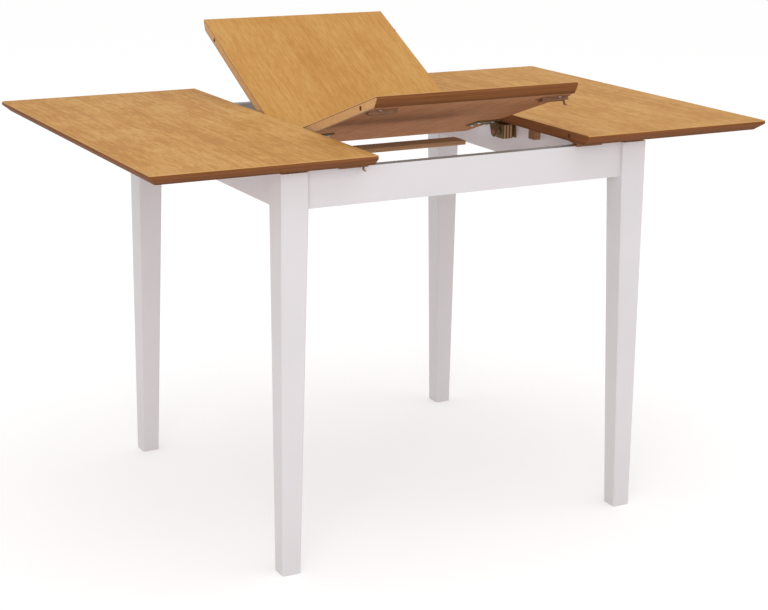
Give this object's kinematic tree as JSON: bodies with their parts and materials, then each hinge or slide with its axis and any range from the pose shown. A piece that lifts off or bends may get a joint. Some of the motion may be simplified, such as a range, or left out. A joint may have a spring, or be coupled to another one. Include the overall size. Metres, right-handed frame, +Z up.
{
  "type": "butterfly leaf table",
  "caption": "Square dining table on tapered legs whose top parts in the middle, with a folding leaf on pivots half raised in the gap.",
  "frame": {"origin": "on the floor, under the middle of the table", "axes": "+X along the table as it extends, +Y across it to the far side, +Z up"},
  "size_m": [1.218, 0.8, 0.8785],
  "materials": {
    "painted_wood": "white lacquer",
    "oiled_oak": "oiled",
    "raw_wood": "stained",
    "dowel_beech": "bare",
    "zinc_steel": "zinc plated",
    "dark_steel": "browned",
    "nylon": "moulded"
  },
  "bodies": {
    "frame": {"clip_screws": "zinc_steel", "corner_block_screws": "zinc_steel", "corner_blocks": "raw_wood", "far_apron": "painted_wood", "hanger_bolts": "zinc_steel", "hanger_nuts": "zinc_steel", "hanger_washers": "zinc_steel", "left_cross_rail": "painted_wood", "left_end_apron": "painted_wood", "left_pivot_block": "raw_wood", "leg_far_left": "painted_wood", "leg_far_right": "painted_wood", "leg_near_left": "painted_wood", "leg_near_right": "painted_wood", "near_apron": "painted_wood", "pivot_block_screws": "zinc_steel", "pivot_bushes": "nylon", "right_cross_rail": "painted_wood", "right_end_apron": "painted_wood", "right_pivot_block": "raw_wood", "runner_clips": "zinc_steel"},
    "left_half": {"left_dowels": "dowel_beech", "left_latch_screws": "zinc_steel", "left_latch_track": "zinc_steel", "left_long_runner": "raw_wood", "left_runner_screws": "zinc_steel", "left_short_runner": "raw_wood", "left_stop_blocks": "raw_wood", "left_stop_screws": "zinc_steel", "left_top": "oiled_oak"},
    "right_half": {"right_keeper_screws": "zinc_steel", "right_keeper_track": "zinc_steel", "right_long_runner": "raw_wood", "right_runner_screws": "zinc_steel", "right_short_runner": "raw_wood", "right_stop_blocks": "raw_wood", "right_stop_screws": "zinc_steel", "right_top": "oiled_oak"},
    "leaf_near": {"leaf_keeper_track": "zinc_steel", "leaf_latch_track": "zinc_steel", "leaf_near_dowels": "dowel_beech", "leaf_near_half": "oiled_oak", "leaf_track_screws": "zinc_steel", "left_pivot_bracket": "zinc_steel", "near_hinge_bodies": "zinc_steel", "near_hinge_screws": "zinc_steel", "pivot_bracket_screws": "zinc_steel", "pivot_pins": "zinc_steel", "right_pivot_bracket": "zinc_steel"},
    "leaf_far": {"far_hinge_bodies": "zinc_steel", "far_hinge_screws": "zinc_steel", "leaf_far_dowels": "dowel_beech", "leaf_far_half": "oiled_oak"},
    "near_links": {"near_hinge_links": "dark_steel"},
    "far_links": {"far_hinge_links": "dark_steel"},
    "left_bolt": {"left_latch_bolt": "dark_steel"},
    "leaf_bolt": {"leaf_latch_bolt": "dark_steel"}
  },
  "joints": [
    {"name": "left_top_slide", "type": "slide", "parent": "frame", "child": "left_half", "axis": [1, 0, 0], "range_m": [0, 0.0087]},
    {"name": "right_top_slide", "type": "slide", "parent": "frame", "child": "right_half", "axis": [-1, 0, 0], "range_m": [0, 0.0087]},
    {"name": "leaf_pivot", "type": "hinge", "parent": "frame", "child": "leaf_near", "pos_m": [0, -0.106, 0.698], "axis": [1, 0, 0], "range_deg": [-55.64, 19.03]},
    {"name": "leaf_fold", "type": "hinge", "parent": "leaf_near", "child": "leaf_far", "pos_m": [0, 0.0064, 0.69879], "axis": [1, 0, 0], "range_deg": [-45.88, 134.14]},
    {"name": "near_link_swing", "type": "hinge", "parent": "leaf_near", "child": "near_links", "pos_m": [0, 0.0064, 0.69879], "axis": [1, 0, 0], "range_deg": [-15.3, 44.72]},
    {"name": "far_link_swing", "type": "hinge", "parent": "leaf_near", "child": "far_links", "pos_m": [0, 0.0064, 0.69879], "axis": [1, 0, 0], "range_deg": [-30.6, 89.44]},
    {"name": "left_bolt_slide", "type": "slide", "parent": "left_half", "child": "left_bolt", "axis": [1, 0, 0], "range_m": [0, 0.02]},
    {"name": "leaf_bolt_slide", "type": "slide", "parent": "leaf_near", "child": "leaf_bolt", "axis": [1, 0, 0], "range_m": [0, 0.02]}
  ],
  "couplings": [
    {"joint": "leaf_fold", "follows": "leaf_pivot", "ratio": -2.4104},
    {"joint": "near_link_swing", "follows": "leaf_pivot", "ratio": -0.80347},
    {"joint": "far_link_swing", "follows": "leaf_pivot", "ratio": -1.6069}
  ]
}
